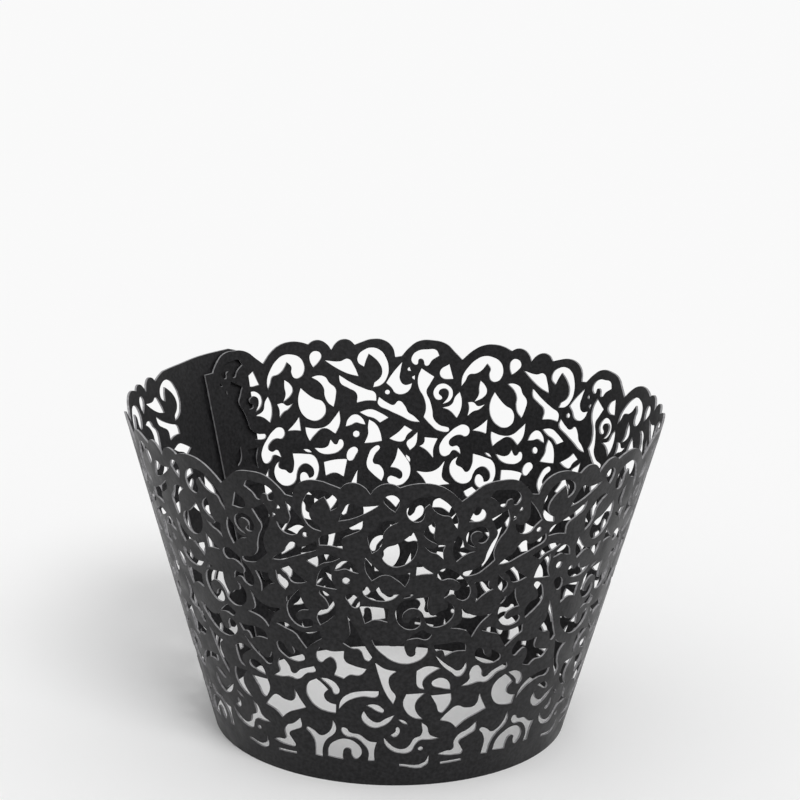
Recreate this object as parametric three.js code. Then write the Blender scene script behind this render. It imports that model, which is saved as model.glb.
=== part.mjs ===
// A filigree cupcake wrapper, cut from one strip of thin card and rolled into a flaring ring.
// Millimetres, +Z up. The origin is the middle of the ring, on the surface that it stands on.
// Turns are degrees round the ring, from -Y (the front) towards +X.
import * as THREE from "three";

// The ring
const BASE_DIAMETER = 54;
const RIM_DIAMETER = 80.8;
const HEIGHT = 50.1;
const CARD = 0.3;

// The strip: patterned repeats, then a plain panel that laps outside the other end
const REPEATS = 7;
const REPEAT_TURN = 50;
const FRONT_REPEAT = 3;
const FRONT_REPEAT_TURN = 5;
const PLAIN_PANEL_TURN = 22.5;
const PANEL_CORNER = 3;
const END_MARGIN = 1;

// The lap
const LAP_GAP = 0.35;
const LAP_RISE_TURN = 11;

// How finely the card is bent, and its outlines are followed
const BENDS_PER_REPEAT = 7;
const CUT_STEP = 2.4;
const CORNER_STEPS = 4;

// The flat drawing of one repeat, seen from outside: its right edge, at the base and at the rim.
// The left edge is its mirror image, and both point at the centre that the strip curves round.
const DRAWN_BASE = new THREE.Vector2(11.755, -0.664);
const DRAWN_RIM = new THREE.Vector2(17.596, 50.91);

// A third value marks a sharp corner in an outline. The rest of the outline is a smooth curve.
const TIP = true;

// The scalloped rim of one repeat, from left to right
const RIM = [
  [-17.2, 47.6, TIP], [-16.9, 49.3], [-15.6, 50.6], [-13.6, 51.0], [-11.6, 50.6], [-10.6, 50.3, TIP],
  [-9.7, 51.2], [-8.5, 51.4], [-7.4, 50.9], [-6.5, 49.8, TIP],
  [-5.9, 50.8], [-4.7, 51.6], [-3.5, 51.6], [-2.6, 51.1, TIP],
  [-1.2, 51.6], [0.6, 51.8], [2.6, 51.4], [4.2, 50.4], [5.9, 48.6, TIP],
  [7.2, 49.6], [9.0, 50.9], [11.3, 51.2], [13.6, 50.8], [15.1, 49.5], [16.2, 47.9, TIP],
];

// Where the plain panel's straight top runs into the first scallop
const PANEL_JOINS = -13.6;

// The openings cut in one repeat
const OPENINGS = {
  hoopRoundTopLeaf: [
    [-13.0, 42.9, TIP], [-14.4, 43.2], [-15.5, 44.4], [-15.9, 46.0], [-15.6, 47.7], [-14.8, 49.0],
    [-13.4, 49.6], [-12.0, 49.3], [-11.0, 48.5], [-10.9, 47.3], [-11.8, 46.5, TIP], [-12.2, 47.5],
    [-12.8, 48.6, TIP], [-13.6, 47.9], [-14.4, 46.9], [-14.8, 45.6], [-14.4, 44.5],
    [-13.3, 43.7, TIP],
  ],
  halfLeafUnderRim: [
    [-10.7, 45.0, TIP], [-10.1, 46.8], [-9.2, 48.1], [-7.8, 47.8], [-5.2, 48.2, TIP], [-7.0, 46.8],
    [-9.0, 45.6],
  ],
  archUnderScallop: [
    [-1.4, 46.6], [-1.5, 47.9], [-0.8, 49.1], [0.6, 49.7], [2.1, 49.7], [3.5, 48.9], [4.7, 47.5],
    [5.5, 45.8], [5.5, 44.2, TIP], [4.9, 45.2], [4.4, 46.3], [3.3, 46.6], [2.3, 47.3],
    [1.5, 48.5, TIP], [0.8, 47.7], [0.9, 46.7], [0.3, 45.7], [-0.7, 45.8],
  ],
  commaBesideRing: [
    [-2.6, 45.6, TIP], [-3.8, 45.8], [-5.0, 45.4], [-5.6, 44.4], [-6.6, 43.3], [-6.5, 41.9],
    [-6.0, 40.3, TIP], [-5.1, 41.1], [-4.6, 42.4], [-4.6, 43.5], [-3.9, 44.7],
  ],
  bigRound: [
    [-4.6, 39.8], [-4.0, 38.8], [-2.9, 38.3], [-1.8, 38.5], [-0.7, 39.3], [0.0, 40.6], [0.1, 42.3],
    [-0.5, 44.0, TIP], [-1.6, 42.9], [-2.8, 42.0], [-4.1, 41.4],
  ],
  webUnderRing: [
    [-6.9, 39.6, TIP], [-5.9, 38.5], [-4.5, 37.3], [-2.8, 37.0], [-0.7, 37.4, TIP], [-0.8, 36.3],
    [-1.3, 35.0, TIP], [-2.3, 36.0], [-4.0, 36.9], [-5.9, 35.8, TIP], [-6.8, 37.4],
  ],
  roundUpperScroll: [
    [2.0, 33.3, TIP], [-0.2, 33.0], [-1.6, 32.6], [-2.4, 31.2], [-2.3, 29.6], [-1.5, 28.3],
    [-0.4, 27.8], [0.7, 28.1], [1.1, 29.1], [0.6, 30.0], [-0.2, 29.7], [-0.6, 28.9, TIP],
    [-1.3, 29.2], [-1.5, 30.1], [-1.0, 31.0], [-0.1, 31.4], [0.9, 31.0], [1.5, 30.0], [1.8, 28.9],
    [2.6, 28.2], [3.8, 28.1], [4.9, 28.7], [5.7, 30.0], [5.5, 31.5], [4.6, 32.4, TIP], [4.7, 31.2],
    [3.6, 30.7], [2.7, 30.1], [2.0, 31.2],
  ],
  aroundLowerScroll: [
    [-5.6, 25.9, TIP], [-4.6, 25.8], [-3.5, 25.1], [-2.2, 25.0], [-1.1, 25.5, TIP], [-0.9, 24.3],
    [-0.2, 23.2], [0.5, 23.5], [0.6, 24.6], [1.2, 25.3], [2.0, 25.0], [2.3, 24.0], [1.7, 22.9],
    [0.6, 22.2], [-0.8, 21.9], [-2.4, 22.3], [-3.9, 23.4], [-5.0, 24.6],
  ],
  besideLoop: [
    [2.3, 16.7, TIP], [1.4, 15.8], [0.9, 14.5], [1.2, 13.2], [2.1, 12.0, TIP], [0.7, 12.4],
    [-0.4, 13.6], [-0.8, 15.1], [-0.4, 16.6, TIP],
  ],
  leftOfBigBud: [
    [-5.0, 22.0, TIP], [-3.6, 21.0], [-1.9, 20.6, TIP], [-2.9, 19.5], [-2.7, 17.6], [-1.9, 16.2],
    [-2.2, 14.8, TIP], [-3.2, 16.4], [-4.2, 19.1],
  ],
  besideLongStem: [
    [-9.1, 29.5, TIP], [-7.8, 27.4], [-6.5, 24.7], [-5.4, 22.8, TIP], [-6.0, 22.1], [-7.3, 24.0],
    [-8.2, 24.0], [-9.6, 24.7, TIP], [-8.7, 26.3], [-8.8, 28.0],
  ],
  benchUnderSmile: [
    [-7.5, 31.4, TIP], [-5.4, 31.5], [-3.4, 31.3, TIP], [-3.5, 29.0, TIP], [-5.2, 29.3],
    [-6.6, 28.5, TIP], [-7.0, 29.8],
  ],
  cloudOverWave: [
    [-12.9, 23.3, TIP], [-11.2, 23.0], [-9.4, 23.4, TIP], [-9.2, 21.7], [-8.0, 21.1],
    [-6.1, 20.7, TIP], [-7.0, 19.5], [-8.5, 19.3], [-9.3, 18.5, TIP], [-10.7, 18.9, TIP],
    [-10.4, 20.6], [-11.2, 21.9], [-12.0, 21.4], [-12.7, 20.7], [-13.4, 21.6],
  ],
  roundLowScroll: [
    [-10.3, 12.1, TIP], [-11.7, 12.1], [-13.2, 12.5], [-14.3, 13.6], [-14.8, 15.0], [-14.5, 16.5],
    [-13.3, 17.6, TIP], [-12.4, 17.0], [-11.5, 16.1, TIP], [-12.1, 15.2], [-11.9, 14.3],
    [-11.2, 13.8], [-10.3, 13.7, TIP],
  ],
  slotBesideArch: [
    [-14.7, 8.2], [-13.5, 8.1], [-12.6, 7.5], [-11.6, 8.0], [-10.9, 9.2], [-10.7, 10.8, TIP],
    [-10.2, 9.4], [-10.5, 8.3], [-11.6, 6.9], [-12.1, 5.3], [-12.1, 3.6, TIP], [-13.2, 3.6, TIP],
    [-13.4, 6.2], [-14.0, 7.3],
  ],
  curlInArch: [
    [-11.3, 4.0, TIP], [-11.2, 5.7], [-10.2, 7.1], [-8.7, 7.8], [-7.2, 7.3], [-6.4, 6.1],
    [-6.6, 4.9], [-7.3, 4.4], [-7.8, 5.1], [-8.0, 6.0], [-8.8, 6.0], [-9.1, 4.9], [-9.0, 3.9, TIP],
  ],
  longLowWave: [
    [-3.3, 8.7, TIP], [-2.5, 7.7], [-1.5, 6.9], [-0.3, 6.8], [0.4, 7.4], [1.0, 8.6], [2.0, 9.2],
    [2.0, 11.4, TIP], [2.8, 10.6], [3.2, 9.2], [4.7, 8.3, TIP], [3.3, 8.2], [1.9, 8.2], [1.2, 7.4],
    [0.6, 6.2], [-1.0, 6.0], [-2.2, 6.5], [-3.1, 7.6],
  ],
  lowWaveRight: [
    [4.5, 5.4, TIP], [5.7, 5.8], [6.8, 6.0], [6.9, 7.4], [7.6, 8.5], [8.9, 9.1], [10.2, 10.2, TIP],
    [10.1, 8.7], [8.8, 7.9], [7.7, 7.1], [8.0, 6.1], [8.3, 5.0], [7.3, 4.8], [5.8, 5.0],
  ],
  besideLowBud: [
    [4.6, 11.6, TIP], [5.7, 12.9], [7.0, 13.8], [8.3, 13.2], [9.8, 13.3], [10.4, 15.3, TIP],
    [10.9, 13.8], [11.6, 12.2, TIP], [10.0, 11.6], [8.4, 10.9], [7.1, 9.8, TIP], [6.3, 10.8],
  ],
  aboveLowBud: [
    [7.4, 17.2, TIP], [8.6, 18.2], [8.6, 19.5], [9.4, 20.5], [10.4, 19.5], [10.8, 18.1],
    [12.2, 18.9], [14.4, 19.6, TIP], [14.5, 18.8], [13.0, 18.3], [11.3, 17.1], [10.0, 17.4],
    [8.8, 17.2],
  ],
  overRightLeaf: [
    [9.9, 26.5, TIP], [11.4, 26.8], [12.7, 25.9], [14.2, 25.4], [16.6, 25.7, TIP],
    [16.6, 24.4, TIP], [15.2, 23.6], [13.9, 22.6, TIP], [13.2, 24.0], [12.6, 25.1], [11.3, 25.8],
  ],
  curlLeft: [
    [-16.2, 32.4, TIP], [-15.6, 30.7], [-14.6, 29.3, TIP], [-15.8, 28.9], [-16.5, 28.0],
    [-16.1, 27.2], [-15.2, 27.6], [-14.3, 27.8], [-13.9, 27.0], [-14.6, 26.3], [-15.8, 26.1],
    [-17.0, 26.7], [-17.8, 28.0], [-17.8, 29.7], [-17.1, 31.0],
  ],
  bandRightOfCurl: [
    [-13.1, 33.0], [-12.1, 32.9], [-11.0, 31.4], [-10.7, 29.8], [-11.5, 28.5], [-12.9, 27.1, TIP],
    [-13.4, 28.4], [-12.8, 29.8], [-11.8, 30.3], [-12.1, 31.5],
  ],
  flagUnderHoop: [
    [-13.3, 40.6, TIP], [-13.2, 42.0], [-11.8, 42.7], [-9.6, 43.9], [-7.4, 45.5, TIP], [-7.6, 44.1],
    [-8.8, 43.2], [-10.1, 42.2], [-10.0, 40.6, TIP], [-11.7, 40.8],
  ],
  longLeafRight: [
    [11.7, 37.3, TIP], [12.9, 38.2], [13.9, 38.7], [14.6, 39.7], [15.7, 40.4], [16.5, 39.6],
    [17.5, 39.8], [19.1, 40.6, TIP], [19.1, 39.4], [17.2, 38.6], [15.0, 37.9], [13.2, 37.3],
  ],
  longRibbonRight: [
    [12.6, 46.3, TIP], [13.0, 44.6], [12.6, 42.9], [11.6, 41.5], [11.0, 39.6], [11.2, 38.2, TIP],
    [10.0, 37.2], [8.4, 36.3], [6.6, 36.7], [8.4, 37.3], [9.5, 38.2], [9.9, 39.6], [10.5, 41.1],
    [11.3, 42.6], [10.9, 43.8], [10.3, 45.2, TIP], [11.4, 45.7],
  ],
  hookUnderScallop: [
    [9.9, 48.8, TIP], [10.6, 49.7], [12.0, 49.6], [13.5, 49.2], [14.4, 48.2], [14.3, 47.1],
    [13.5, 46.8], [13.2, 47.8], [12.6, 47.8], [11.9, 46.8], [11.0, 47.9],
  ],
  longHookMiddle: [
    [3.1, 37.2], [4.1, 37.9], [5.3, 37.4], [6.6, 36.1], [7.6, 34.7], [7.9, 33.3], [7.2, 32.2],
    [6.2, 32.5], [5.5, 33.4], [4.1, 32.9, TIP], [4.8, 34.2], [5.9, 34.0], [6.4, 34.6], [5.7, 35.7],
    [4.7, 36.1], [3.6, 36.0],
  ],
  belowRightLeaf: [
    [6.7, 31.4, TIP], [7.8, 29.9], [9.2, 29.2], [11.3, 29.1, TIP], [9.8, 27.8], [8.5, 25.6, TIP],
    [7.6, 26.9], [5.3, 27.7, TIP], [6.7, 28.5], [6.9, 29.8],
  ],
  cupFarRight: [
    [16.0, 46.9, TIP], [16.9, 45.6], [17.6, 44.4], [18.2, 43.1, TIP], [17.2, 42.4], [16.4, 41.6],
    [15.2, 41.6], [14.2, 42.4], [13.9, 43.6, TIP], [15.1, 43.2], [16.0, 44.0], [16.1, 45.3],
  ],
};

// Sizes that follow from the ones above
const BASE_RADIUS = BASE_DIAMETER / 2;
const RIM_RADIUS = RIM_DIAMETER / 2;
const SLANT = Math.hypot(HEIGHT, RIM_RADIUS - BASE_RADIUS);
const LEAN = HEIGHT / SLANT;
const PATTERN_START = FRONT_REPEAT_TURN - (FRONT_REPEAT - 0.5) * REPEAT_TURN;
const PATTERN_END = PATTERN_START + REPEATS * REPEAT_TURN;
const STRIP_START = PATTERN_START - PLAIN_PANEL_TURN;
const STRIP_END = PATTERN_END + END_MARGIN;
const BEND_TURN = REPEAT_TURN / BENDS_PER_REPEAT;
const FACETS_BEFORE_PATTERN = Math.ceil(PLAIN_PANEL_TURN / BEND_TURN);
const FACETS = FACETS_BEFORE_PATTERN + REPEATS * BENDS_PER_REPEAT + Math.ceil(END_MARGIN / BEND_TURN);

// How far the strip stands out of the ring at a turn, so that its plain panel laps outside its other end
function lapOffset(turn) {
  const risen = THREE.MathUtils.smoothstep(PATTERN_START - turn, 0, LAP_RISE_TURN);
  return risen * (CARD + LAP_GAP) / LEAN;
}

// A point of the rolled card, from its turn, its rise up the slant, and its distance out of the card's middle
function rolled({ x: turn, y: rise }, out) {
  const radius = BASE_RADIUS + (RIM_RADIUS - BASE_RADIUS) * rise / SLANT + lapOffset(turn) + out / LEAN;
  const angle = THREE.MathUtils.degToRad(turn);
  return new THREE.Vector3(radius * Math.sin(angle), -radius * Math.cos(angle), rise * LEAN);
}

// The centre that the drawing curves round lies under its middle, where its two edges meet
const drawnSlope = (DRAWN_RIM.x - DRAWN_BASE.x) / (DRAWN_RIM.y - DRAWN_BASE.y);
const drawnCentre = DRAWN_BASE.y - DRAWN_BASE.x / drawnSlope;
const drawnBaseRadius = Math.hypot(DRAWN_BASE.x, DRAWN_BASE.y - drawnCentre);
const drawnRimRadius = Math.hypot(DRAWN_RIM.x, DRAWN_RIM.y - drawnCentre);

// A point of the flat drawing, as the turn (x) and the rise (y) that it has in a repeat of the strip
function onStrip({ x, y }, repeat) {
  const across = Math.atan2(x, y - drawnCentre) / Math.atan(drawnSlope);
  const up = (Math.hypot(x, y - drawnCentre) - drawnBaseRadius) / (drawnRimRadius - drawnBaseRadius);
  const turn = PATTERN_START + (repeat + 0.5 + across / 2) * REPEAT_TURN;
  return new THREE.Vector2(turn, up * SLANT);
}

// The points along a drawn line, which is smooth from one sharp corner to the next
function along(line) {
  const points = [];
  let run = [line[0]];
  for (const point of line.slice(1)) {
    run.push(point);
    if (point[2] === TIP || point === line[line.length - 1]) {
      const curve = new THREE.SplineCurve(run.map(([x, y]) => new THREE.Vector2(x, y)));
      const steps = Math.ceil(curve.getLength() / CUT_STEP);
      points.push(...curve.getSpacedPoints(steps).slice(0, -1));
      run = [point];
    }
  }
  return points;
}

// The points round an opening, from one of its sharp corners back to it
function around(outline) {
  const first = outline.findIndex((point) => point[2] === TIP);
  return along([...outline.slice(first), ...outline.slice(0, first), outline[first]]);
}

// The strip's own outline: base, end, scallops from the last repeat to the first, and the plain panel
function stripOutline() {
  const scallops = along(RIM);
  const [lastX, lastY] = RIM[RIM.length - 1];
  const end = onStrip({ x: lastX, y: lastY }, REPEATS - 1);
  const outline = [new THREE.Vector2(STRIP_START, 0), new THREE.Vector2(STRIP_END, 0)];
  outline.push(new THREE.Vector2(STRIP_END, end.y), end);
  for (let repeat = REPEATS - 1; repeat >= 0; repeat--) {
    const kept = scallops.filter(({ x }) => repeat > 0 || x > PANEL_JOINS);
    outline.push(...kept.map((point) => onStrip(point, repeat)).reverse());
  }
  const cornerTurn = THREE.MathUtils.radToDeg(PANEL_CORNER / RIM_RADIUS);
  for (let step = 0; step <= CORNER_STEPS; step++) {
    const angle = step / CORNER_STEPS * Math.PI / 2;
    const turn = STRIP_START + cornerTurn * (1 - Math.sin(angle));
    outline.push(new THREE.Vector2(turn, SLANT - PANEL_CORNER * (1 - Math.cos(angle))));
  }
  return outline;
}

// Every opening of the strip that clears its end
function stripOpenings() {
  const openings = [];
  for (let repeat = 0; repeat < REPEATS; repeat++) {
    for (const drawn of Object.values(OPENINGS)) {
      const opening = around(drawn).map((point) => onStrip(point, repeat));
      if (!THREE.ShapeUtils.isClockWise(opening)) opening.reverse();
      if (opening.every(({ x }) => x < STRIP_END - END_MARGIN)) openings.push(opening);
    }
  }
  return openings;
}

// The turn of a bend line, counted from the plain panel's end
function bendTurn(line) {
  return PATTERN_START + (line - FACETS_BEFORE_PATTERN) * BEND_TURN;
}

// Which facet of the strip the edge from a point to the next one lies in
function facetOf(point, next) {
  return Math.floor(((point.x + next.x) / 2 - bendTurn(0)) / BEND_TURN);
}

// An outline with a point added wherever it crosses a bend line
function bent(outline) {
  return outline.flatMap((point, i) => {
    const next = outline[(i + 1) % outline.length];
    const crossings = [];
    for (let line = 0; line <= FACETS; line++) {
      const share = (bendTurn(line) - point.x) / (next.x - point.x);
      if (share > 0 && share < 1) crossings.push({ share, line });
    }
    crossings.sort((a, b) => a.share - b.share);
    const added = crossings.map(({ share, line }) => {
      return new THREE.Vector2(bendTurn(line), THREE.MathUtils.lerp(point.y, next.y, share));
    });
    return [point, ...added];
  });
}

// The stretches of an outline that lie in one facet, each an open run of points, or the whole outline
function stretches(outline, facet) {
  const inFacet = outline.map((point, i) => facetOf(point, outline[(i + 1) % outline.length]) === facet);
  if (inFacet.every(Boolean)) return [outline];
  const runs = [];
  outline.forEach((_, first) => {
    if (!inFacet[first] || inFacet.at(first - 1)) return;
    const run = [outline[first]];
    for (let i = first; inFacet[i % outline.length]; i++) run.push(outline[(i + 1) % outline.length]);
    runs.push(run);
  });
  return runs;
}

// Runs joined end to start along the facet's bend lines: up the right one, down the left one
function joinedLoops(runs, right) {
  const loops = [];
  const loose = [...runs];
  while (loose.length > 0) {
    const loop = [...loose[0]];
    let next;
    do {
      const end = loop.at(-1);
      const ahead = (run) => (run[0].y - end.y) * (end.x === right ? 1 : -1);
      const reachable = loose.filter((run) => run[0].x === end.x && ahead(run) > 0);
      next = reachable.reduce((a, b) => (ahead(a) < ahead(b) ? a : b));
      loose.splice(loose.indexOf(next), 1);
      if (next[0] !== loop[0]) loop.push(...next);
    } while (next[0] !== loop[0]);
    loops.push(loop);
  }
  return loops;
}

// Whether a point lies inside a loop: a line to its left crosses the loop an odd number of times
function inside({ x, y }, loop) {
  const crossed = loop.filter((a, i) => {
    const b = loop[(i + 1) % loop.length];
    return (a.y > y) !== (b.y > y) && x > THREE.MathUtils.mapLinear(y, a.y, b.y, a.x, b.x);
  });
  return crossed.length % 2 === 1;
}

// The card as one closed surface, flat between two bend lines: outer face, inner face and cut edges
function rolledStrip() {
  const outlines = [stripOutline(), ...stripOpenings()].map(bent);
  const points = outlines.flat();
  const indexOf = new Map(points.map((point, i) => [point, i]));
  const indices = [];
  const addFace = (corners) => {
    const [a, b, c] = corners.map((point) => indexOf.get(point));
    indices.push(a, b, c, a + points.length, c + points.length, b + points.length);
  };
  for (let facet = 0; facet < FACETS; facet++) {
    const found = outlines.flatMap((outline) => stretches(outline, facet));
    const whole = found.filter((run) => outlines.includes(run));
    const loops = joinedLoops(found.filter((run) => !whole.includes(run)), bendTurn(facet + 1));
    for (const loop of loops) {
      const holes = whole.filter((hole) => inside(hole[0], loop));
      const corners = [loop, ...holes].flat();
      const faces = THREE.ShapeUtils.triangulateShape(loop, holes);
      faces.forEach((face) => addFace(face.map((corner) => corners[corner])));
    }
  }
  for (const outline of outlines) {
    outline.forEach((point, i) => {
      const a = indexOf.get(point);
      const b = indexOf.get(outline[(i + 1) % outline.length]);
      indices.push(b, a, a + points.length, b, a + points.length, b + points.length);
    });
  }
  const geometry = new THREE.BufferGeometry();
  const outer = points.map((point) => rolled(point, CARD / 2));
  const inner = points.map((point) => rolled(point, -CARD / 2));
  geometry.setFromPoints([...outer, ...inner]);
  geometry.setIndex(indices);
  geometry.computeVertexNormals();
  return geometry;
}

const pearlCard = new THREE.MeshStandardMaterial({ color: 0x2c2b2e, roughness: 0.5, metalness: 0.0 });
pearlCard.name = "pearl card";

const wrapper = new THREE.Mesh(rolledStrip(), pearlCard);
wrapper.name = "wrapper";

const group = new THREE.Group();
group.add(wrapper);
export default group;
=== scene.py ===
# A black filigree cupcake wrapper, dressed and lit as in the photograph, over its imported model.
import math

import bpy
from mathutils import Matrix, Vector


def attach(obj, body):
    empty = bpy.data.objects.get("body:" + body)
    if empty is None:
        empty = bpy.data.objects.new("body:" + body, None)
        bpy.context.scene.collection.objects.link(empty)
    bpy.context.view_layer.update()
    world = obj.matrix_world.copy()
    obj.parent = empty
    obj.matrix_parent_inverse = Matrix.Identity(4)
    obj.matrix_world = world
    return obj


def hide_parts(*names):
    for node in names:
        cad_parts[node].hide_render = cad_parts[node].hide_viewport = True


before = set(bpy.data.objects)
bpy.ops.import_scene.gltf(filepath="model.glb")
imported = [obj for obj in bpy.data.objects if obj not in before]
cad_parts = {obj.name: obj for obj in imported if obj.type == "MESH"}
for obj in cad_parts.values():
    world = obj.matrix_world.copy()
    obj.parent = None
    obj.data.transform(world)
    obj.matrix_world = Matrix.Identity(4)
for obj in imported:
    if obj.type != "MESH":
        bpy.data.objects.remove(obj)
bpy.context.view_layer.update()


# The camera looks slightly down on the wrapper, from in front and about seven of its heights away.
# It aims above the ring's middle, because the photograph has the wrapper in its lower half.
MM = 0.001
CAMERA_PLACE = Vector((0, -321.1, 139.2)) * MM
CAMERA_AIM = Vector((0.79, 0, 50.35)) * MM
CAMERA_ROLL = math.radians(1.0)
CAMERA_LENS = 99.7
CAMERA_SENSOR = 36
CAMERA_NEAREST = 10

bpy.ops.object.camera_add(location=CAMERA_PLACE)
camera = bpy.context.object
camera.name = "photo_camera"
camera.data.lens = CAMERA_LENS
camera.data.sensor_width = CAMERA_SENSOR
camera.data.clip_start = CAMERA_NEAREST * MM
look = (CAMERA_AIM - CAMERA_PLACE).to_track_quat("-Z", "Y").to_matrix().to_4x4()
look.translation = CAMERA_PLACE
camera.matrix_world = look
camera.rotation_euler.rotate_axis("Z", CAMERA_ROLL)
bpy.context.scene.camera = camera
bpy.context.scene.view_settings.view_transform = "Standard"


# The card's flat outline. The wrapper is cut from one sheet of thin card: seven repeats of the
# pattern under a scalloped rim, then a plain panel. It is drawn as if its curved base ran straight,
# with the turn round the ring along X and the rise up the slant along Y.
BASE_RADIUS = 27.0
RIM_RADIUS = 40.4
HEIGHT = 50.1
CARD = 0.3
REPEATS = 7
REPEAT_TURN = 50.0
PATTERN_START = -120.0
PANEL_TURN = 22.5
PANEL_CORNER = 3.0
CORNER_CUT = 0.3
END_MARGIN = 1.0
STRIP_START = PATTERN_START - PANEL_TURN
STRIP_END = PATTERN_START + REPEATS * REPEAT_TURN + END_MARGIN
SLANT = math.hypot(HEIGHT, RIM_RADIUS - BASE_RADIUS)
LEAN = HEIGHT / SLANT
MEAN_RADIUS = (BASE_RADIUS + RIM_RADIUS) / 2
CURVE_STEPS = 5

# One repeat is drawn in millimetres on the flat card, which curves round a centre below it
DRAWN_CENTRE = -104.46
DRAWN_HALF_ANGLE = math.radians(6.4615)
DRAWN_BASE_RADIUS = 104.46
DRAWN_RIM_RADIUS = 156.36
TIP = True
SCALLOPS = [
    (-17.2, 47.6, TIP), (-16.9, 49.3), (-15.6, 50.6), (-13.6, 51.0), (-11.6, 50.6), (-10.6, 50.3, TIP),
    (-9.7, 51.2), (-8.5, 51.4), (-7.4, 50.9), (-6.5, 49.8, TIP), (-5.9, 50.8), (-4.7, 51.6), (-3.5, 51.6),
    (-2.6, 51.1, TIP), (-1.2, 51.6), (0.6, 51.8), (2.6, 51.4), (4.2, 50.4), (5.9, 48.6, TIP),
    (7.2, 49.6), (9.0, 50.9), (11.3, 51.2), (13.6, 50.8), (15.1, 49.5), (16.2, 47.9, TIP),
]
PANEL_JOIN = SCALLOPS[3]


def on_strip(turn, rise):
    """A place on the straightened card, from the turn round the ring and the rise up the slant."""
    return Vector((math.radians(turn) * MEAN_RADIUS, rise, 0)) * MM


def from_drawing(x, y, repeat):
    """The turn and the rise of a point of the flat drawing, in one repeat of the pattern."""
    reach = math.hypot(x, y - DRAWN_CENTRE)
    across = math.atan2(x, y - DRAWN_CENTRE) / DRAWN_HALF_ANGLE
    up = (reach - DRAWN_BASE_RADIUS) / (DRAWN_RIM_RADIUS - DRAWN_BASE_RADIUS)
    return PATTERN_START + (repeat + 0.5 + across / 2) * REPEAT_TURN, up * SLANT


def cut_line(drawing, places, sharp):
    """Adds a closed line to the flat drawing: smooth, but for the places that are sharp corners."""
    line = drawing.splines.new("BEZIER")
    line.bezier_points.add(len(places) - 1)
    line.use_cyclic_u = True
    for knot, (turn, rise), corner in zip(line.bezier_points, places, sharp):
        knot.co = on_strip(turn, rise)
        knot.handle_left_type = knot.handle_right_type = "VECTOR" if corner else "AUTO"


drawing = bpy.data.curves.new("flat_card", "CURVE")
drawing.dimensions = "2D"
drawing.fill_mode = "FRONT"
drawing.resolution_u = CURVE_STEPS

edge = [((STRIP_START, 0), True), ((STRIP_END, 0), True)]
edge.append(((STRIP_END, from_drawing(*SCALLOPS[-1][:2], REPEATS - 1)[1]), True))
for repeat in reversed(range(REPEATS)):
    for x, y, *tip in reversed(SCALLOPS):
        if repeat > 0 or x > PANEL_JOIN[0]:
            edge.append((from_drawing(x, y, repeat), bool(tip)))
edge.append((from_drawing(*PANEL_JOIN, 0), True))
corner_turn = math.degrees(PANEL_CORNER / RIM_RADIUS)
edge.append(((STRIP_START + corner_turn, SLANT), True))
edge.append(((STRIP_START + CORNER_CUT * corner_turn, SLANT - CORNER_CUT * PANEL_CORNER), False))
edge.append(((STRIP_START, SLANT - PANEL_CORNER), True))
cut_line(drawing, [place for place, _ in edge], [corner for _, corner in edge])


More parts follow.
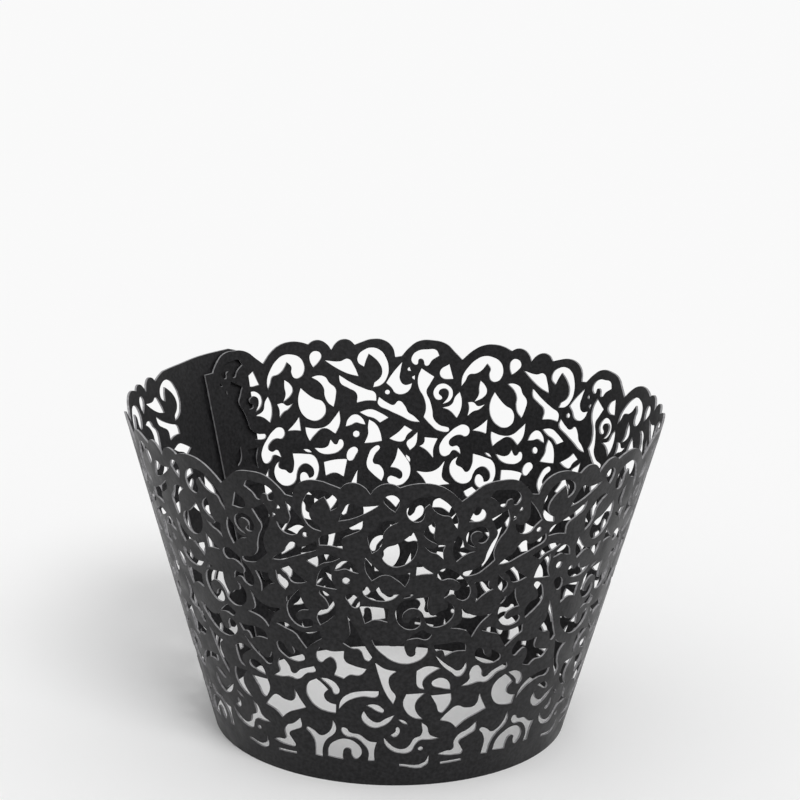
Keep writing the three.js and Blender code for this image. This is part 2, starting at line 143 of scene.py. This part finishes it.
# The openings under the scalloped rim: the hoop round the top leaf, arches, webs and curls. Each is
# a closed line of the flat drawing, smooth but for its sharp tips, and is cut in every repeat.
RIM_BAND = {
    "hoop_round_top_leaf": [
        (-13.0, 42.9, TIP), (-14.4, 43.2), (-15.5, 44.4), (-15.9, 46.0), (-15.6, 47.7), (-14.8, 49.0),
        (-13.4, 49.6), (-12.0, 49.3), (-11.0, 48.5), (-10.9, 47.3), (-11.8, 46.5, TIP), (-12.2, 47.5),
        (-12.8, 48.6, TIP), (-13.6, 47.9), (-14.4, 46.9), (-14.8, 45.6), (-14.4, 44.5),
        (-13.3, 43.7, TIP),
    ],
    "half_leaf_under_rim": [
        (-10.7, 45.0, TIP), (-10.1, 46.8), (-9.2, 48.1), (-7.8, 47.8), (-5.2, 48.2, TIP),
        (-7.0, 46.8), (-9.0, 45.6),
    ],
    "drop_under_small_scallop": [
        (-4.7, 49.1), (-3.8, 49.9), (-2.8, 49.5), (-2.6, 48.4), (-3.1, 47.2, TIP), (-4.1, 48.0),
    ],
    "arch_under_scallop": [
        (-1.4, 46.6), (-1.5, 47.9), (-0.8, 49.1), (0.6, 49.7), (2.1, 49.7), (3.5, 48.9), (4.7, 47.5),
        (5.5, 45.8), (5.5, 44.2, TIP), (4.9, 45.2), (4.4, 46.3), (3.3, 46.6), (2.3, 47.3),
        (1.5, 48.5, TIP), (0.8, 47.7), (0.9, 46.7), (0.3, 45.7), (-0.7, 45.8),
    ],
    "comma_beside_ring": [
        (-2.6, 45.6, TIP), (-3.8, 45.8), (-5.0, 45.4), (-5.6, 44.4), (-6.6, 43.3), (-6.5, 41.9),
        (-6.0, 40.3, TIP), (-5.1, 41.1), (-4.6, 42.4), (-4.6, 43.5), (-3.9, 44.7),
    ],
    "big_round": [
        (-4.6, 39.8), (-4.0, 38.8), (-2.9, 38.3), (-1.8, 38.5), (-0.7, 39.3), (0.0, 40.6),
        (0.1, 42.3), (-0.5, 44.0, TIP), (-1.6, 42.9), (-2.8, 42.0), (-4.1, 41.4),
    ],
    "flag_under_hoop": [
        (-13.3, 40.6, TIP), (-13.2, 42.0), (-11.8, 42.7), (-9.6, 43.9), (-7.4, 45.5, TIP),
        (-7.6, 44.1), (-8.8, 43.2), (-10.1, 42.2), (-10.0, 40.6, TIP), (-11.7, 40.8),
    ],
    "hook_under_scallop": [
        (9.9, 48.8, TIP), (10.6, 49.7), (12.0, 49.6), (13.5, 49.2), (14.4, 48.2), (14.3, 47.1),
        (13.5, 46.8), (13.2, 47.8), (12.6, 47.8), (11.9, 46.8), (11.0, 47.9),
    ],
    "triangle_under_scallop": [(8.0, 47.6, TIP), (9.4, 46.3), (9.0, 45.2), (7.0, 45.2, TIP)],
    "curl_right": [
        (6.8, 43.0), (7.6, 44.0), (8.9, 44.2), (9.9, 43.3), (10.0, 42.1), (9.2, 41.4), (8.5, 41.8),
        (9.2, 42.6), (8.8, 43.3), (7.8, 43.3), (7.5, 42.2), (8.3, 40.8, TIP), (7.2, 41.5),
    ],
    "beside_curl": [
        (5.6, 43.2, TIP), (6.3, 42.3), (6.8, 40.9), (8.3, 40.2, TIP), (7.0, 39.9), (5.6, 38.8, TIP),
        (5.1, 40.2), (5.1, 41.9),
    ],
    "small_comma_middle": [
        (2.3, 45.6, TIP), (1.3, 44.8), (0.9, 43.8), (1.4, 42.9), (2.9, 41.9, TIP), (2.3, 43.2),
        (2.4, 44.4),
    ],
    "kite_middle": [
        (1.0, 41.7, TIP), (2.2, 41.3), (3.0, 41.8), (4.0, 41.7, TIP), (3.7, 40.8), (3.8, 39.4, TIP),
        (2.9, 40.3), (2.0, 40.7),
    ],
    "cup_far_right": [
        (16.0, 46.9, TIP), (16.9, 45.6), (17.6, 44.4), (18.2, 43.1, TIP), (17.2, 42.4), (16.4, 41.6),
        (15.2, 41.6), (14.2, 42.4), (13.9, 43.6, TIP), (15.1, 43.2), (16.0, 44.0), (16.1, 45.3),
    ],
    "long_ribbon_right": [
        (12.6, 46.3, TIP), (13.0, 44.6), (12.6, 42.9), (11.6, 41.5), (11.0, 39.6), (11.2, 38.2, TIP),
        (10.0, 37.2), (8.4, 36.3), (6.6, 36.7), (8.4, 37.3), (9.5, 38.2), (9.9, 39.6), (10.5, 41.1),
        (11.3, 42.6), (10.9, 43.8), (10.3, 45.2, TIP), (11.4, 45.7),
    ],
    "long_leaf_right": [
        (11.7, 37.3, TIP), (12.9, 38.2), (13.9, 38.7), (14.6, 39.7), (15.7, 40.4), (16.5, 39.6),
        (17.5, 39.8), (19.1, 40.6, TIP), (19.1, 39.4), (17.2, 38.6), (15.0, 37.9), (13.2, 37.3),
    ],
    "speck_by_cup": [(14.3, 45.6, TIP), (14.9, 45.7), (14.7, 46.3, TIP)],
    "speck_under_cup": [(13.5, 44.2, TIP), (14.0, 44.6), (13.6, 45.0, TIP)],
}


# The openings above the middle: scrolls, the small eye's surround, tiles along the ribbon and leaves.
# The card that is left between them makes the stems of the vine.
UPPER_BAND = {
    "web_under_ring": [
        (-6.9, 39.6, TIP), (-5.9, 38.5), (-4.5, 37.3), (-2.8, 37.0), (-0.7, 37.4, TIP), (-0.8, 36.3),
        (-1.3, 35.0, TIP), (-2.3, 36.0), (-4.0, 36.9), (-5.9, 35.8, TIP), (-6.8, 37.4),
    ],
    "smile_under_arch": [
        (-7.1, 33.9), (-6.6, 34.8), (-5.8, 34.0), (-4.9, 34.9, TIP), (-4.2, 33.8), (-2.0, 33.8, TIP),
        (-3.1, 32.8), (-4.8, 32.5), (-6.3, 32.9),
    ],
    "round_upper_scroll": [
        (2.0, 33.3, TIP), (-0.2, 33.0), (-1.6, 32.6), (-2.4, 31.2), (-2.3, 29.6), (-1.5, 28.3),
        (-0.4, 27.8), (0.7, 28.1), (1.1, 29.1), (0.6, 30.0), (-0.2, 29.7), (-0.6, 28.9, TIP),
        (-1.3, 29.2), (-1.5, 30.1), (-1.0, 31.0), (-0.1, 31.4), (0.9, 31.0), (1.5, 30.0), (1.8, 28.9),
        (2.6, 28.2), (3.8, 28.1), (4.9, 28.7), (5.7, 30.0), (5.5, 31.5), (4.6, 32.4, TIP),
        (4.7, 31.2), (3.6, 30.7), (2.7, 30.1), (2.0, 31.2),
    ],
    "small_diamond_on_stem": [(-9.4, 32.8), (-8.6, 33.3), (-7.4, 31.6), (-8.0, 31.0), (-9.0, 31.9)],
    "bench_under_smile": [
        (-7.5, 31.4, TIP), (-5.4, 31.5), (-3.4, 31.3, TIP), (-3.5, 29.0, TIP), (-5.2, 29.3),
        (-6.6, 28.5, TIP), (-7.0, 29.8),
    ],
    "curl_left": [
        (-16.2, 32.4, TIP), (-15.6, 30.7), (-14.6, 29.3, TIP), (-15.8, 28.9), (-16.5, 28.0),
        (-16.1, 27.2), (-15.2, 27.6), (-14.3, 27.8), (-13.9, 27.0), (-14.6, 26.3), (-15.8, 26.1),
        (-17.0, 26.7), (-17.8, 28.0), (-17.8, 29.7), (-17.1, 31.0),
    ],
    "band_right_of_curl": [
        (-13.1, 33.0), (-12.1, 32.9), (-11.0, 31.4), (-10.7, 29.8), (-11.5, 28.5), (-12.9, 27.1, TIP),
        (-13.4, 28.4), (-12.8, 29.8), (-11.8, 30.3), (-12.1, 31.5),
    ],
    "crescent_over_eye": [
        (-11.1, 36.8, TIP), (-10.6, 38.0), (-9.5, 38.7), (-8.3, 38.1), (-7.7, 36.8, TIP),
        (-8.7, 37.0), (-9.6, 37.3), (-10.4, 37.0),
    ],
    "left_of_eye": [
        (-13.6, 33.8, TIP), (-13.4, 35.5), (-12.8, 36.8), (-11.8, 37.6, TIP), (-11.5, 36.5),
        (-11.4, 35.2), (-10.6, 33.7, TIP), (-12.1, 33.7),
    ],
    "long_diamond": [
        (-15.1, 37.6, TIP), (-13.7, 38.6), (-12.2, 39.3), (-10.3, 39.0, TIP), (-11.5, 38.2),
        (-12.7, 37.7), (-13.6, 36.9, TIP),
    ],
    "triangle_middle": [(0.2, 39.3, TIP), (1.2, 38.2), (2.6, 37.1, TIP), (1.3, 37.1), (0.1, 36.9, TIP)],
    "long_hook_middle": [
        (3.1, 37.2), (4.1, 37.9), (5.3, 37.4), (6.6, 36.1), (7.6, 34.7), (7.9, 33.3), (7.2, 32.2),
        (6.2, 32.5), (5.5, 33.4), (4.1, 32.9, TIP), (4.8, 34.2), (5.9, 34.0), (6.4, 34.6),
        (5.7, 35.7), (4.7, 36.1), (3.6, 36.0),
    ],
    "tile_upper": [
        (8.4, 35.0, TIP), (10.6, 34.9, TIP), (10.6, 33.9), (11.3, 33.3, TIP), (10.1, 32.8),
        (8.7, 31.6, TIP), (8.9, 33.2),
    ],
    "tile_middle": [(11.9, 35.6, TIP), (12.7, 34.6), (13.5, 33.6), (12.8, 32.4, TIP), (12.0, 33.4)],
    "tile_right": [
        (12.8, 35.8, TIP), (14.2, 36.4, TIP), (15.0, 35.3), (16.5, 33.9, TIP), (15.2, 33.6),
        (14.1, 33.8), (13.6, 34.9),
    ],
    "below_right_leaf": [
        (6.7, 31.4, TIP), (7.8, 29.9), (9.2, 29.2), (11.3, 29.1, TIP), (9.8, 27.8), (8.5, 25.6, TIP),
        (7.6, 26.9), (5.3, 27.7, TIP), (6.7, 28.5), (6.9, 29.8),
    ],
    "slit_over_scroll": [(-1.5, 33.1, TIP), (-0.8, 33.7), (0.0, 33.8, TIP), (-0.6, 33.3)],
    "slit_by_tile": [(12.5, 30.4, TIP), (13.1, 30.8), (13.4, 31.6, TIP), (12.7, 31.2)],
}


# The openings below the middle: the loop, waves, the lower scrolls and the long openings between
# them, which leave a long stem and round buds in the card.
LOWER_BAND = {
    "around_lower_scroll": [
        (-5.6, 25.9, TIP), (-4.6, 25.8), (-3.5, 25.1), (-2.2, 25.0), (-1.1, 25.5, TIP), (-0.9, 24.3),
        (-0.2, 23.2), (0.5, 23.5), (0.6, 24.6), (1.2, 25.3), (2.0, 25.0), (2.3, 24.0), (1.7, 22.9),
        (0.6, 22.2), (-0.8, 21.9), (-2.4, 22.3), (-3.9, 23.4), (-5.0, 24.6),
    ],
    "over_lower_scroll": [
        (-0.8, 26.0, TIP), (0.1, 26.9), (1.4, 27.8, TIP), (2.8, 26.8, TIP), (2.1, 26.0), (0.7, 26.3),
    ],
    "beside_lower_scroll": [
        (2.9, 25.1, TIP), (3.5, 23.9, TIP), (4.3, 24.0), (4.8, 22.9, TIP), (6.1, 23.5),
        (7.8, 23.4, TIP), (7.6, 24.6), (6.2, 25.2), (4.6, 25.1),
    ],
    "long_comma_over_loop": [
        (3.4, 23.2, TIP), (4.4, 22.1), (5.7, 20.9), (7.0, 20.1), (8.0, 21.4, TIP), (8.0, 20.1),
        (7.0, 19.0), (5.9, 19.9), (4.6, 21.2),
    ],
    "hook_over_loop": [
        (0.9, 20.7, TIP), (2.3, 21.4), (4.3, 20.9, TIP), (3.1, 20.2), (2.1, 19.3), (1.8, 18.3),
        (2.1, 17.3, TIP), (1.2, 17.8), (0.9, 19.2),
    ],
    "beside_loop": [
        (2.3, 16.7, TIP), (1.4, 15.8), (0.9, 14.5), (1.2, 13.2), (2.1, 12.0, TIP), (0.7, 12.4),
        (-0.4, 13.6), (-0.8, 15.1), (-0.4, 16.6, TIP),
    ],
    "upper_in_loop": [
        (3.1, 18.3), (3.8, 19.1), (4.9, 19.0), (5.7, 18.0), (5.9, 16.9, TIP), (4.6, 17.3),
    ],
    "lower_in_loop": [
        (3.1, 16.2, TIP), (4.6, 16.2), (6.0, 16.2, TIP), (6.1, 14.9), (5.5, 13.6), (4.7, 12.9),
        (3.9, 14.6),
    ],
    "left_of_big_bud": [
        (-5.0, 22.0, TIP), (-3.6, 21.0), (-1.9, 20.6, TIP), (-2.9, 19.5), (-2.7, 17.6), (-1.9, 16.2),
        (-2.2, 14.8, TIP), (-3.2, 16.4), (-4.2, 19.1),
    ],
    "beside_long_stem": [
        (-9.1, 29.5, TIP), (-7.8, 27.4), (-6.5, 24.7), (-5.4, 22.8, TIP), (-6.0, 22.1), (-7.3, 24.0),
        (-8.2, 24.0), (-9.6, 24.7, TIP), (-8.7, 26.3), (-8.8, 28.0),
    ],
    "cloud_over_wave": [
        (-12.9, 23.3, TIP), (-11.2, 23.0), (-9.4, 23.4, TIP), (-9.2, 21.7), (-8.0, 21.1),
        (-6.1, 20.7, TIP), (-7.0, 19.5), (-8.5, 19.3), (-9.3, 18.5, TIP), (-10.7, 18.9, TIP),
        (-10.4, 20.6), (-11.2, 21.9), (-12.0, 21.4), (-12.7, 20.7), (-13.4, 21.6),
    ],
    "over_low_scroll": [
        (-12.8, 17.9, TIP), (-11.5, 18.0), (-10.3, 17.3), (-9.9, 16.0), (-10.5, 15.5), (-11.1, 16.5),
    ],
    "above_low_bud": [
        (7.4, 17.2, TIP), (8.6, 18.2), (8.6, 19.5), (9.4, 20.5), (10.4, 19.5), (10.8, 18.1),
        (12.2, 18.9), (14.4, 19.6, TIP), (14.5, 18.8), (13.0, 18.3), (11.3, 17.1), (10.0, 17.4),
        (8.8, 17.2),
    ],
    "cup_right": [
        (9.2, 22.3), (9.5, 23.4), (10.3, 23.2), (10.8, 22.0), (11.6, 21.5), (11.7, 22.8, TIP),
        (12.5, 22.1), (13.3, 20.9), (12.5, 20.3), (11.2, 20.4), (10.0, 21.1),
    ],
    "over_right_leaf": [
        (9.9, 26.5, TIP), (11.4, 26.8), (12.7, 25.9), (14.2, 25.4), (16.6, 25.7, TIP),
        (16.6, 24.4, TIP), (15.2, 23.6), (13.9, 22.6, TIP), (13.2, 24.0), (12.6, 25.1), (11.3, 25.8),
    ],
    "long_wave": [
        (-9.9, 12.9, TIP), (-9.7, 14.4), (-8.6, 15.9), (-6.8, 16.7), (-4.3, 17.0, TIP), (-4.5, 16.0),
        (-6.4, 15.8), (-8.2, 15.0), (-9.3, 13.9),
    ],
    "round_low_scroll": [
        (-10.3, 12.1, TIP), (-11.7, 12.1), (-13.2, 12.5), (-14.3, 13.6), (-14.8, 15.0), (-14.5, 16.5),
        (-13.3, 17.6, TIP), (-12.4, 17.0), (-11.5, 16.1, TIP), (-12.1, 15.2), (-11.9, 14.3),
        (-11.2, 13.8), (-10.3, 13.7, TIP),
    ],
}


# The openings over the plain base: arches, the long wave and slits between the stems. Under them the
# card is left whole, as the band that the wrapper stands on.
BASE_BAND = {
    "slot_beside_arch": [
        (-14.7, 8.2), (-13.5, 8.1), (-12.6, 7.5), (-11.6, 8.0), (-10.9, 9.2), (-10.7, 10.8, TIP),
        (-10.2, 9.4), (-10.5, 8.3), (-11.6, 6.9), (-12.1, 5.3), (-12.1, 3.6, TIP), (-13.2, 3.6, TIP),
        (-13.4, 6.2), (-14.0, 7.3),
    ],
    "curl_in_arch": [
        (-11.3, 4.0, TIP), (-11.2, 5.7), (-10.2, 7.1), (-8.7, 7.8), (-7.2, 7.3), (-6.4, 6.1),
        (-6.6, 4.9), (-7.3, 4.4), (-7.8, 5.1), (-8.0, 6.0), (-8.8, 6.0), (-9.1, 4.9),
        (-9.0, 3.9, TIP),
    ],
    "comma_over_arch": [
        (-9.4, 9.6), (-8.7, 9.7), (-8.2, 9.1), (-6.8, 8.9), (-5.4, 7.9), (-4.3, 7.8, TIP),
        (-4.6, 6.2), (-4.5, 4.4, TIP), (-5.4, 4.3, TIP), (-5.4, 5.9), (-6.1, 7.2), (-7.3, 8.2),
        (-8.9, 8.4),
    ],
    "cup_under_bud": [
        (-6.3, 13.2, TIP), (-6.6, 12.1), (-6.0, 11.0), (-4.9, 10.4), (-3.7, 10.7), (-2.6, 11.6),
        (-1.9, 12.9, TIP), (-3.1, 12.2), (-4.3, 11.4), (-5.4, 11.9),
    ],
    "long_low_wave": [
        (-3.3, 8.7, TIP), (-2.5, 7.7), (-1.5, 6.9), (-0.3, 6.8), (0.4, 7.4), (1.0, 8.6), (2.0, 9.2),
        (2.0, 11.4, TIP), (2.8, 10.6), (3.2, 9.2), (4.7, 8.3, TIP), (3.3, 8.2), (1.9, 8.2),
        (1.2, 7.4), (0.6, 6.2), (-1.0, 6.0), (-2.2, 6.5), (-3.1, 7.6),
    ],
    "low_wave_right": [
        (4.5, 5.4, TIP), (5.7, 5.8), (6.8, 6.0), (6.9, 7.4), (7.6, 8.5), (8.9, 9.1),
        (10.2, 10.2, TIP), (10.1, 8.7), (8.8, 7.9), (7.7, 7.1), (8.0, 6.1), (8.3, 5.0), (7.3, 4.8),
        (5.8, 5.0),
    ],
    "beside_low_bud": [
        (4.6, 11.6, TIP), (5.7, 12.9), (7.0, 13.8), (8.3, 13.2), (9.8, 13.3), (10.4, 15.3, TIP),
        (10.9, 13.8), (11.6, 12.2, TIP), (10.0, 11.6), (8.4, 10.9), (7.1, 9.8, TIP), (6.3, 10.8),
    ],
    "small_comma_by_bud": [
        (-2.4, 9.2, TIP), (-1.8, 8.9), (-1.2, 9.4), (-1.1, 10.2), (-1.5, 10.7), (-1.7, 9.9),
    ],
    "slit_over_comma": [(-1.4, 12.1, TIP), (-0.6, 11.9), (0.1, 11.1, TIP), (-0.7, 11.4)],
    "slit_over_bud": [
        (-6.0, 14.3, TIP), (-4.9, 14.6), (-3.9, 14.2), (-3.5, 13.3), (-4.2, 13.3), (-5.2, 13.9),
    ],
    "base_slit_middle": [(-0.9, 3.6, TIP), (3.0, 3.6), (3.3, 5.5, TIP), (2.6, 4.1), (-0.9, 4.0, TIP)],
    "base_slit_right": [(5.0, 3.5, TIP), (8.2, 3.5, TIP), (8.2, 3.9, TIP), (5.0, 3.9, TIP)],
}

# Dots punched between the scrolls, each with its place and its radius
DOTS = [(-9.4, 35.4, 0.55), (17.8, 41.6, 0.4), (2.0, 6.7, 0.35)]
DOT_CORNERS = 6

outlines = [o for band in (RIM_BAND, UPPER_BAND, LOWER_BAND, BASE_BAND) for o in band.values()]
for x, y, radius in DOTS:
    turns = [2 * math.pi * i / DOT_CORNERS for i in range(DOT_CORNERS)]
    outlines.append([(x + radius * math.cos(turn), y + radius * math.sin(turn)) for turn in turns])
for repeat in range(REPEATS):
    for outline in outlines:
        places = [from_drawing(x, y, repeat) for x, y, *_ in outline]
        if max(turn for turn, _ in places) < STRIP_END - END_MARGIN:
            cut_line(drawing, places, [len(point) > 2 for point in outline])


# The card, cut and rolled. The flat drawing becomes a sheet, gets a fold line every two degrees and
# the card's thickness, and is rolled round the cone. The plain panel rises clear of the ring as it
# nears the other end, and laps outside it.
BEND_TURN = 2.0
LAP_GAP = 0.35
LAP_RISE_TURN = 11.0
SAME_PLACE = 0.0001
SAME_PLANE = math.radians(0.1)

for other in bpy.context.selected_objects:
    other.select_set(False)
card = bpy.data.objects.new("filigree_card", drawing)
bpy.context.collection.objects.link(card)
bpy.context.view_layer.objects.active = card
card.select_set(True)
bpy.ops.object.convert(target="MESH")
card = bpy.context.object
bpy.ops.object.mode_set(mode="EDIT")
bpy.ops.mesh.select_all(action="SELECT")
bpy.ops.mesh.remove_doubles(threshold=SAME_PLACE * MM)
for bend in range(1, math.ceil((STRIP_END - STRIP_START) / BEND_TURN)):
    fold = on_strip(STRIP_START + bend * BEND_TURN, 0)
    bpy.ops.mesh.select_all(action="SELECT")
    bpy.ops.mesh.bisect(plane_co=fold, plane_no=(1, 0, 0), threshold=SAME_PLACE * MM)
    bpy.ops.mesh.mark_seam(clear=False)
bpy.ops.mesh.select_all(action="SELECT")
bpy.ops.mesh.dissolve_limited(angle_limit=SAME_PLANE, delimit={"SEAM"})
bpy.ops.mesh.quads_convert_to_tris(quad_method="BEAUTY", ngon_method="BEAUTY")
bpy.ops.mesh.mark_seam(clear=True)
bpy.ops.mesh.extrude_region_move(TRANSFORM_OT_translate={"value": (0, 0, CARD * MM)})
bpy.ops.mesh.select_all(action="SELECT")
bpy.ops.mesh.normals_make_consistent(inside=False)
bpy.ops.object.mode_set(mode="OBJECT")


def smooth_step(value):
    """Rises from 0 to 1 as the value does, with a level start and end."""
    value = min(max(value, 0), 1)
    return value * value * (3 - 2 * value)


def rolled(place):
    """Where a point of the straightened card comes to lie on the ring."""
    turn = place.x / MM / MEAN_RADIUS
    up = place.y / MM / SLANT
    lap = smooth_step((PATTERN_START - math.degrees(turn)) / LAP_RISE_TURN) * (CARD + LAP_GAP)
    out = (lap + place.z / MM - CARD / 2) / LEAN
    radius = BASE_RADIUS + (RIM_RADIUS - BASE_RADIUS) * up + out
    return Vector((radius * math.sin(turn), -radius * math.cos(turn), HEIGHT * up)) * MM


# Pearl card: black all through, with a satin skin on both faces and a duller cut edge, whose pale colour
# is a painted highlight for the light that the edges catch. Fine pearl grains sparkle in the skin through
# their bumps, and their paler colour is partly the card's own speckle and partly painted sparkle; it is
# smoother in some cloudy patches than in others.
PEARL_BLACK = (0.0045, 0.0044, 0.0049, 1)
# The pale pearl tone below is partly the card's own speckle and partly painted sparkle.
PEARL_SPECKLE_AND_SPARKLE = (0.0185, 0.0181, 0.0196, 1)
# The two cut-edge tones below are a painted highlight, standing for the light that the cut edges catch.
EDGE_PAINTED_HIGHLIGHT = (0.2, 0.197, 0.204, 1)
EDGE_PAINTED_HIGHLIGHT_PALE = (0.36, 0.357, 0.366, 1)
CARD_ROUGHNESS = (0.34, 0.5)
EDGE_ROUGHNESS = (0.55, 0.7)
PEARL_SHINE = 0.2
GRAINS_PER_METRE = 1900
GRAIN_RANGE = (0.32, 0.7)
GRAIN_STRENGTH = 0.6
GRAIN_HEIGHT = 0.04
PATCHES_PER_METRE = 260
PATCH_RANGE = (0.35, 0.65)
WALL_SLOPE = 0.5
ROUND_WITHIN = math.radians(35)


def card_finish(name, dark, light, roughness):
    """A card surface: fine grains in its colour and its skin, and patches in how smooth it is."""
    finish = bpy.data.materials.new(name)
    finish.use_nodes = True
    nodes = finish.node_tree.nodes
    link = finish.node_tree.links.new
    shader = nodes["Principled BSDF"]
    shader.inputs["Specular IOR Level"].default_value = PEARL_SHINE
    place = nodes.new("ShaderNodeTexCoord")
    grains = nodes.new("ShaderNodeTexNoise")
    grains.inputs["Scale"].default_value = GRAINS_PER_METRE
    grains.inputs["Detail"].default_value = 3
    speckle = nodes.new("ShaderNodeMapRange")
    speckle.inputs["From Min"].default_value, speckle.inputs["From Max"].default_value = GRAIN_RANGE
    patches = nodes.new("ShaderNodeTexNoise")
    patches.inputs["Scale"].default_value = PATCHES_PER_METRE
    patches.inputs["Detail"].default_value = 2
    polish = nodes.new("ShaderNodeMapRange")
    polish.inputs["From Min"].default_value, polish.inputs["From Max"].default_value = PATCH_RANGE
    polish.inputs["To Min"].default_value, polish.inputs["To Max"].default_value = roughness
    # The grains mix the dark and the pale tone: on the pearl the pale grains are partly painted sparkle,
    # and on the cut edge both tones are a painted highlight.
    tone = nodes.new("ShaderNodeMix")
    tone.data_type = "RGBA"
    tone.inputs["A"].default_value = dark
    tone.inputs["B"].default_value = light
    skin = nodes.new("ShaderNodeBump")
    skin.inputs["Strength"].default_value = GRAIN_STRENGTH
    skin.inputs["Distance"].default_value = GRAIN_HEIGHT * MM
    link(place.outputs["Object"], grains.inputs["Vector"])
    link(grains.outputs["Fac"], speckle.inputs["Value"])
    link(speckle.outputs["Result"], tone.inputs["Factor"])
    link(tone.outputs["Result"], shader.inputs["Base Color"])
    link(place.outputs["Object"], patches.inputs["Vector"])
    link(patches.outputs["Fac"], polish.inputs["Value"])
    link(polish.outputs["Result"], shader.inputs["Roughness"])
    link(grains.outputs["Fac"], skin.inputs["Height"])
    link(skin.outputs["Normal"], shader.inputs["Normal"])
    return finish


card.data.materials.append(card_finish("pearl_card", PEARL_BLACK, PEARL_SPECKLE_AND_SPARKLE, CARD_ROUGHNESS))
# The cut edges' finish paints a highlight on the walls of the cuts, which the loop below picks out by
# their slope.
card.data.materials.append(card_finish("cut_edge_painted_highlight", EDGE_PAINTED_HIGHLIGHT, EDGE_PAINTED_HIGHLIGHT_PALE, EDGE_ROUGHNESS))
for face in card.data.polygons:
    face.material_index = 1 if abs(face.normal.z) < WALL_SLOPE else 0
for vertex in card.data.vertices:
    vertex.co = rolled(vertex.co)
bpy.ops.object.shade_smooth_by_angle(angle=ROUND_WITHIN)
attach(card, "root")
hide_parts("wrapper")


# The floor is a plain white sheet, large enough to fill the view, that keeps the wrapper's shadow.
# It is dull all over, and isn't part of the object.
FLOOR_WIDTH = 8.0
FLOOR_WHITE = (0.97, 0.97, 0.97, 1)
FLOOR_ROUGHNESS = 0.9

bpy.ops.mesh.primitive_plane_add(size=FLOOR_WIDTH, location=(0, 0, 0))
floor = bpy.context.object
floor.name = "floor"
paper = bpy.data.materials.new("white_sheet")
paper.use_nodes = True
shader = paper.node_tree.nodes["Principled BSDF"]
shader.inputs["Base Color"].default_value = FLOOR_WHITE
shader.inputs["Roughness"].default_value = FLOOR_ROUGHNESS
shader.inputs["Specular IOR Level"].default_value = 0
floor.data.materials.append(paper)


# Soft light: a pale room all round, and one broad lamp from the upper right. The room is seen, also
# in gloss, as a nearly white backdrop, which is brighter than the light that it gives.
WHITE = (1, 1, 1, 1)
ROOM_LIGHT = 0.7
BACKDROP_WHITE = 0.95
LAMP_LIGHT = 1.2
LAMP_TURN = (math.radians(38), math.radians(22), 0)
LAMP_WIDTH = math.radians(25)

world = bpy.data.worlds.new("room")
bpy.context.scene.world = world
world.use_nodes = True
room = world.node_tree.nodes["Background"]
room.inputs["Color"].default_value = WHITE
room.inputs["Strength"].default_value = ROOM_LIGHT
backdrop = world.node_tree.nodes.new("ShaderNodeBackground")
backdrop.inputs["Color"].default_value = WHITE
backdrop.inputs["Strength"].default_value = BACKDROP_WHITE
seen = world.node_tree.nodes.new("ShaderNodeLightPath")
mirrored = world.node_tree.nodes.new("ShaderNodeMath")
mirrored.operation = "MAXIMUM"
any_sight = world.node_tree.nodes.new("ShaderNodeMath")
any_sight.operation = "MAXIMUM"
either = world.node_tree.nodes.new("ShaderNodeMixShader")
link = world.node_tree.links.new
link(seen.outputs["Is Glossy Ray"], mirrored.inputs[0])
link(seen.outputs["Is Transmission Ray"], mirrored.inputs[1])
link(seen.outputs["Is Camera Ray"], any_sight.inputs[0])
link(mirrored.outputs["Value"], any_sight.inputs[1])
link(any_sight.outputs["Value"], either.inputs["Fac"])
link(room.outputs["Background"], either.inputs[1])
link(backdrop.outputs["Background"], either.inputs[2])
link(either.outputs["Shader"], world.node_tree.nodes["World Output"].inputs["Surface"])
bpy.ops.object.light_add(type="SUN", rotation=LAMP_TURN)
lamp = bpy.context.object
lamp.data.energy = LAMP_LIGHT
lamp.data.angle = LAMP_WIDTH
